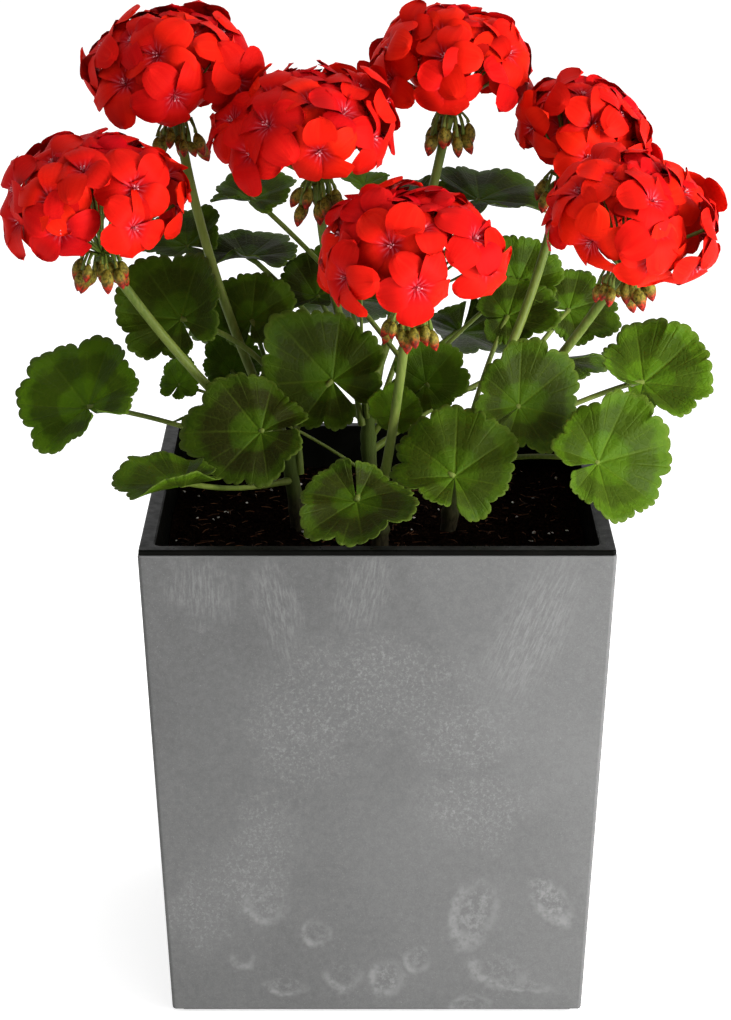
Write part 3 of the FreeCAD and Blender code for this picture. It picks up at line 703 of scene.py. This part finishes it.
random.seed(5)
for number in range(1, FLOWER_COUNT + 1):
    stalk_top = flower_ends[number]
    points = solids_of(f"flower_head_{number}")[0]
    low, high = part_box(f"flower_head_{number}")
    centre = (low + high) / 2
    up = (centre - stalk_top).normalized()
    half_width = max((point - centre).length for point in points)
    half_height = max((point - centre).dot(up) for point in points)
    upright = Vector((0, 0, 1)).rotation_difference(up).to_matrix()
    mesh = bmesh.new()
    mesh.loops.layers.uv.verify()
    mesh.loops.layers.float.new("tint")
    # Painted light: heads further to the right are painted lighter and more scarlet, those to the left
    # more crimson, for the key light on the right.
    head_tone_and_light = 0.62 + centre.x * 0.4
    for ring in FLORET_RINGS + [YOUNG_RING]:
        count, lift, share, shut = ring
        start = random.uniform(0, 2 * math.pi)
        young = ring is YOUNG_RING
        for step in range(count):
            turn = start + 2 * math.pi * (step + random.uniform(-0.16, 0.16)) / count
            rise = math.radians(lift + random.uniform(-8, 8))
            flat = math.cos(rise)
            away = Vector((math.cos(turn) * flat, math.sin(turn) * flat, math.sin(rise)))
            on_ball = Vector((away.x * half_width, away.y * half_width, away.z * half_height))
            jitter = Vector([random.uniform(-FACING_JITTER, FACING_JITTER) for _ in range(3)])
            outward = upright @ (away + jitter + Vector((0, 0, 0.12))).normalized()
            depth = YOUNG_DEPTH if young else BALL_SHARE + random.uniform(-0.07, 0.05)
            place = centre + upright @ on_ball * depth
            tone = random.uniform(0.0, 0.18) if young else head_tone_and_light + random.uniform(-0.34, 0.26)
            reach = FLORET_REACH * share * random.uniform(0.94, 1.06)
            floret(mesh, place, outward, reach, tone, shut)
            bend = stalk_top.lerp(place, 0.5) + up * 3 * MM
            route = [stalk_top + up * MM, bend, place - outward * MM]
            tube(mesh, route, [0.8 * MM, 0.75 * MM, 1.3 * MM], 5, 2)
    finishes = [petal_finish.material, throat_finish.material, stalk_finish.material]
    finish_piece(mesh, f"florets_{number}", finishes, "insert", [f"flower_head_{number}"])

# ---- Flower buds -----------------------------------------------------------------------------
# Unopened buds hang round the top of each stalk on their own thin stalks: olive green, ribbed and
# downy, with red petal tips showing at their ends.

BUD_LENGTH = 16 * MM
BUDS_PER_HEAD = 15


def bud_shape():
    """One closed bud, a unit long, hanging from the origin along -Z, ribbed by its sepals."""
    mesh = bmesh.new()
    bmesh.ops.create_uvsphere(mesh, u_segments=15, v_segments=9, radius=0.5)
    layer = mesh.loops.layers.float.new("tint")
    for vertex in mesh.verts:
        drop = min(1, max(0, 0.5 - vertex.co.z))
        around = math.atan2(vertex.co.y, vertex.co.x)
        girth = 0.25 * math.sin(math.pi * drop ** 0.85) ** 0.75 if 0 < drop < 1 else 0
        girth *= 1 + 0.16 * math.cos(5 * around) * drop
        vertex.co = Vector((math.cos(around) * girth, math.sin(around) * girth, -drop))
    for face in mesh.faces:
        for loop in face.loops:
            loop[layer] = -loop.vert.co.z
    data = bpy.data.meshes.new("bud")
    mesh.to_mesh(data)
    mesh.free()
    return data


bud_finish = Finish("green_bud_with_red_tip", {"Specular IOR Level": 0.15})
tint = bud_finish.read("Attribute", "Fac", {"attribute_name": "tint"})
place = bud_finish.read("TexCoord", "Object").stretch(1000, 1000, 1000)
mottle = place.noise(0.5, 3, 0.6)
green = mottle.fade(0.30, 0.65).mix((0.045, 0.038, 0.003), (0.230, 0.190, 0.022))
blush = (tint + mottle * 0.45).fade(0.66, 1.05)
tips = mottle.fade(0.4, 0.7).mix((0.110, 0.003, 0.002), (0.42, 0.022, 0.006))
bud_finish.feed("Base Color", blush.mix(green, tips))
bud_finish.feed("Roughness", 0.5 + mottle * 0.25)
bud_finish.bump(mottle, 0.3, 0.0006)

bud_kind = bud_shape()
random.seed(31)
for number in range(1, FLOWER_COUNT + 1):
    stalk_top = flower_ends[number]
    mesh = bmesh.new()
    mesh.loops.layers.float.new("tint")
    for bud in range(BUDS_PER_HEAD):
        turn = bud * 2.39996 + random.uniform(-0.3, 0.3)
        out = Vector((math.cos(turn), math.sin(turn), 0))
        reach = (4 + 11 * math.sqrt(bud / BUDS_PER_HEAD)) * random.uniform(0.85, 1.15) * MM
        drop = random.uniform(2, 13) * MM
        hang = (out * random.uniform(0.05, 0.55) - Vector((0, 0, 1))).normalized()
        neck = stalk_top + out * reach - Vector((0, 0, drop))
        bow = stalk_top + out * reach * 0.7 + Vector((0, 0, 2.5 * MM))
        bend = [stalk_top, bow.lerp(stalk_top, 0.4), bow, bow.lerp(neck, 0.6) + out * 0.8 * MM, neck]
        tube(mesh, bend, [1.1 * MM, 1.0 * MM, 0.95 * MM, 1.0 * MM, 1.5 * MM], 6, 1)
        size = BUD_LENGTH * random.uniform(0.72, 1.08)
        place_copy(mesh, bud_kind, facing_matrix(neck, -hang, random.uniform(0, 6.3), size))
    finishes = [bud_finish.material, stalk_finish.material]
    finish_piece(mesh, f"buds_{number}", finishes, "insert", [f"bud_cluster_{number}"])

# ---- Leaves ----------------------------------------------------------------------------------
# A leaf is a round, downy blade on a thin stalk that joins it at the end of a notch. Its seven
# lobes have scalloped edges and fold along their veins, and a dark zone runs round between the
# middle and the edge.

LOBES = 7
SCALLOPS = 5
SPOKES_PER_SCALLOP = 6
BLADE_SPOKES = LOBES * SCALLOPS * SPOKES_PER_SCALLOP
BLADE_RINGS = 10
BLADE_TURN = 2 * math.pi - math.radians(9)
LOBE_TURN = BLADE_TURN / LOBES
HUB_SHARE = 0.26
BLADE_THICKNESS = 0.45 * MM
OUTER_REACH = 0.19

leaf_finish = Finish("zoned_green_leaf", {"Specular IOR Level": 0.05})
flat_place = leaf_finish.read("UVMap", "UV")
flat = flat_place.node("SeparateXYZ", (), {0: flat_place})
zone = leaf_finish.read("Attribute", "Fac", {"attribute_name": "zone"})
youth = leaf_finish.read("Attribute", "Fac", {"attribute_name": "youth"})
radius = (flat.out("X") ** 2 + flat.out("Y") ** 2) ** 0.5
around = flat.out("Y").math("ARCTAN2", flat.out("X"))
shift = flat.out("X").join(flat.out("Y"), youth * 9)
cloudy = shift.noise(4, 4, 0.6)


def vein(turn, width):
    """1 on the spokes that are a turn apart and 0 away from them."""
    phase = around / turn + 0.5
    off = abs(phase - phase.math("FLOOR") - 0.5) * turn * radius
    return (off + (cloudy - 0.5) * 0.03).fade(width, 0)


main_veins = vein(LOBE_TURN, 0.030) * radius.fade(1.05, 0.5)
side_veins = vein(LOBE_TURN / 3, 0.018) * radius.fade(0.40, 0.60) * radius.fade(1.10, 0.85)
net = shift.node("TexVoronoi", {"feature": "DISTANCE_TO_EDGE"}, {"Vector": shift, "Scale": 12})
veins = main_veins.math("MAXIMUM", side_veins * 0.6)

# This green carries both a leaf's youth and painted light: it is fresher for young leaves and for
# leaves far out to the sides.
green = youth.mix((0.0175, 0.0350, 0.0009), (0.054, 0.120, 0.0026))
light_green = youth.mix((0.036, 0.062, 0.0018), (0.082, 0.160, 0.0055))
green = (cloudy.fade(0.3, 0.7) * 0.5).mix(green, light_green)
green = (radius.fade(0.45, 0.0) * 0.55).mix(green, (0.045, 0.098, 0.0030))
uneven = radius + (cloudy - 0.5) * 0.35
band = uneven.fade(0.34, 0.46) * uneven.fade(0.86, 0.70) * zone
green = band.mix(green, (0.0120, 0.0105, 0.0015))
green = (radius.fade(0.92, 1.0) * 0.45).mix(green, (0.085, 0.120, 0.018))
green = (net.fade(0.08, 0.0) * 0.10).mix(green, (0.075, 0.110, 0.010))
green = (veins * 0.20).mix(green, (0.090, 0.140, 0.010))
leaf_finish.feed("Base Color", green)
down = shift.noise(60, 2, 0.6)
leaf_finish.feed("Roughness", 0.38 + cloudy * 0.2 + down * 0.10)
leaf_finish.bump(down * 0.15 + net.fade(0.0, 0.2) * 0.25 - veins * 0.8, 0.6, 0.0010)


def blade_test(points):
    """The share of a solid's points that lie far out, its middle and its reach. A blade's share is
    the larger, because its points lie round its edge and a stalk's are spread along it."""
    pairs = ((first, second) for first in points for second in points)
    ends = max(pairs, key=lambda pair: (pair[0] - pair[1]).length)
    middle = (ends[0] + ends[1]) / 2
    reach = (ends[0] - ends[1]).length / 2
    return sum((point - middle).length > 0.8 * reach for point in points) / len(points), middle, reach


# A small leaf is young: fresh green, faintly zoned and on a thin stalk. Outer leaves are painted
# lighter, as painted light.
random.seed(77)
leaf_nodes = sorted(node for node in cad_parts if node.startswith("leaf_"))
for number, node in enumerate(leaf_nodes):
    measured = [(blade_test(points), points) for points in solids_of(node)]
    measured.sort(key=lambda entry: entry[0][0])
    stalk = measured[0][1]
    (_, centre, size), blade = measured[1]
    hub = min(blade, key=lambda point: (point - centre).length)
    heading = (centre - hub).normalized()
    rim_point = max(blade, key=lambda point: (point - centre).cross(heading).length)
    normal = heading.cross(rim_point - centre).normalized()
    if normal.dot(middle_of(stalk) - hub) > 0:
        normal = -normal
    across = normal.cross(heading)
    youth_here = 1 - min(1.0, max(0.0, (size - 14 * MM) / (18 * MM)))
    youth_here = min(1, max(0, youth_here + random.uniform(-0.05, 0.22)))
    zone_here = random.uniform(0.50, 0.86) * (1 - 0.7 * youth_here)
    # Painted light: leaves further out to the sides are made lighter, and the inner ones stay darker as
    # painted shade.
    youth_and_painted_light = min(1, youth_here + 0.7 * min(1, abs(centre.x) / OUTER_REACH) ** 4)
    phases = [random.uniform(0, 2 * math.pi) for _ in range(4)]
    cup = random.uniform(-0.08, 0.16)

    mesh = bmesh.new()
    bmesh.ops.create_grid(mesh, x_segments=BLADE_RINGS, y_segments=BLADE_SPOKES, size=0.5)
    flat_layer = mesh.loops.layers.uv.verify()
    zone_layer = mesh.loops.layers.float.new("zone")
    youth_and_light_layer = mesh.loops.layers.float.new("youth")
    flats = {}
    for vertex in mesh.verts:
        ring = (vertex.co.x + 0.5) ** 0.8
        turn = vertex.co.y * BLADE_TURN
        edge = HUB_SHARE * math.cos(turn) + math.sqrt(1 - (HUB_SHARE * math.sin(turn)) ** 2)
        corner = 0.10 * max(0, abs(turn) * 2 / BLADE_TURN - 0.9) * 10
        lobe_number = math.floor(turn / LOBE_TURN + 0.5)
        lobe = turn / LOBE_TURN - lobe_number
        lobe_arc = 1 - math.sqrt(1 - 3.6 * lobe * lobe)
        scallop = abs(math.cos(math.pi * SCALLOPS * lobe)) ** 0.6
        longer = 0.07 * math.sin(2.4 * lobe_number + phases[3]) * (1 - 4 * lobe * lobe)
        ragged = 0.018 * math.sin(13 * turn + phases[1])
        outline = longer + ragged - 0.19 * lobe_arc + 0.042 * (scallop - 0.6) - corner
        reach = edge * (1 + ring ** 3 * outline)
        wave = 0.150 * math.sin(2 * turn + phases[0]) * ring ** 2
        wave += 0.100 * math.sin(3 * turn + phases[1]) * ring ** 2.5
        wave += 0.030 * math.sin(8 * turn + phases[2]) * ring ** 4
        fold = 0.135 * (0.5 - math.cos(2 * math.pi * lobe) * 0.5) * ring ** 1.2 * (1.1 - 0.6 * ring)
        rise = wave + fold + cup * ring ** 2 - 0.10 * (1 - ring) ** 2 + 0.02
        flats[vertex] = (math.cos(turn) * ring, math.sin(turn) * ring)
        out = heading * math.cos(turn) + across * math.sin(turn)
        vertex.co = hub + (out * (ring * reach) + normal * rise) * size
    for face in mesh.faces:
        for loop in face.loops:
            loop[flat_layer].uv = flats[loop.vert]
            loop[zone_layer] = zone_here
            loop[youth_and_light_layer] = youth_and_painted_light
    bmesh.ops.remove_doubles(mesh, verts=mesh.verts, dist=0.02 * MM)
    bmesh.ops.recalc_face_normals(mesh, faces=mesh.faces)
    bmesh.ops.solidify(mesh, geom=mesh.faces[:], thickness=BLADE_THICKNESS)
    route = stalk_route(stalk, hub, 14)
    route[-1] = hub - normal * 0.06 * size
    lead_in = (route[0] - route[1]).normalized() * 4 * MM
    stalk_radius = (1.1 + 0.8 * (1 - youth_here)) * MM
    radii = [stalk_radius * (1 + 0.5 * math.exp(-index)) for index in range(len(route))]
    tube(mesh, [route[0] + lead_in] + route, [radii[0]] + radii, 8, 1)
    finishes = [leaf_finish.material, stalk_finish.material]
    finish_piece(mesh, f"leaf_blade_{number + 1:02d}", finishes, "insert", [node])

# ---- Camera, floor and light -----------------------------------------------------------------
# The box stands on a seamless white floor in front of a lit white backdrop. The key light is a
# soft box to the right, level with the flowers, and a weaker one hangs overhead.

CAMERA_DISTANCE = 2.126
CAMERA_TILT = math.radians(17.07)
LOOK_AT = Vector((-0.0074, 0, 0.3060))

camera = bpy.data.objects.new("camera", bpy.data.cameras.new("camera"))
bpy.context.scene.collection.objects.link(camera)
camera.data.lens = 111.8
camera.data.sensor_width = 36
camera.location = LOOK_AT + Vector((0, -math.cos(CAMERA_TILT), math.sin(CAMERA_TILT))) * CAMERA_DISTANCE
camera.rotation_euler = (math.pi / 2 - CAMERA_TILT, 0, 0)
bpy.context.scene.camera = camera
bpy.context.scene.view_settings.view_transform = "Standard"


def soft_box(name, place, size, power):
    """A square area light that looks at the middle of the object."""
    lamp = bpy.data.lights.new(name, "AREA")
    lamp.size = size
    lamp.energy = power
    holder = bpy.data.objects.new(name, lamp)
    holder.location = place
    aim = (cad_low + cad_high) / 2 - Vector(place)
    holder.rotation_euler = aim.to_track_quat("-Z", "Y").to_euler()
    bpy.context.scene.collection.objects.link(holder)


soft_box("key_light", (1.35, -0.85, 0.62), 0.9, 52)
soft_box("top_light", (0.3, -0.5, 2.2), 1.2, 14)

# The backdrop glows behind the object and is dim in front of it, but looks white from anywhere.
world = bpy.data.worlds.new("studio")
bpy.context.scene.world = world
world.use_nodes = True
way = Shade(world.node_tree).node("TexCoord")
way = way.node("SeparateXYZ", (), {0: way})
seen = Shade(world.node_tree).node("LightPath")
glow = 0.28 + way.out("Y").fade(-0.1, 0.5) * 0.74
glow = glow.math("MAXIMUM", seen)
world.node_tree.links.new(glow.socket, world.node_tree.nodes["Background"].inputs["Strength"])
world.node_tree.nodes["Background"].inputs["Color"].default_value = (1, 1, 1, 1)

floor_mesh = bmesh.new()
bmesh.ops.create_grid(floor_mesh, x_segments=1, y_segments=1, size=30)
floor_data = bpy.data.meshes.new("floor")
floor_mesh.to_mesh(floor_data)
floor_mesh.free()
floor = bpy.data.objects.new("floor", floor_data)
bpy.context.scene.collection.objects.link(floor)
paint = Finish("white_floor", {
    "Base Color": (0.9, 0.9, 0.9, 1),
    "Roughness": 0.9,
    "Specular IOR Level": 0,
    "Emission Color": (1, 1, 1, 1),
    "Emission Strength": 0.60,
})
floor_data.materials.append(paint.material)
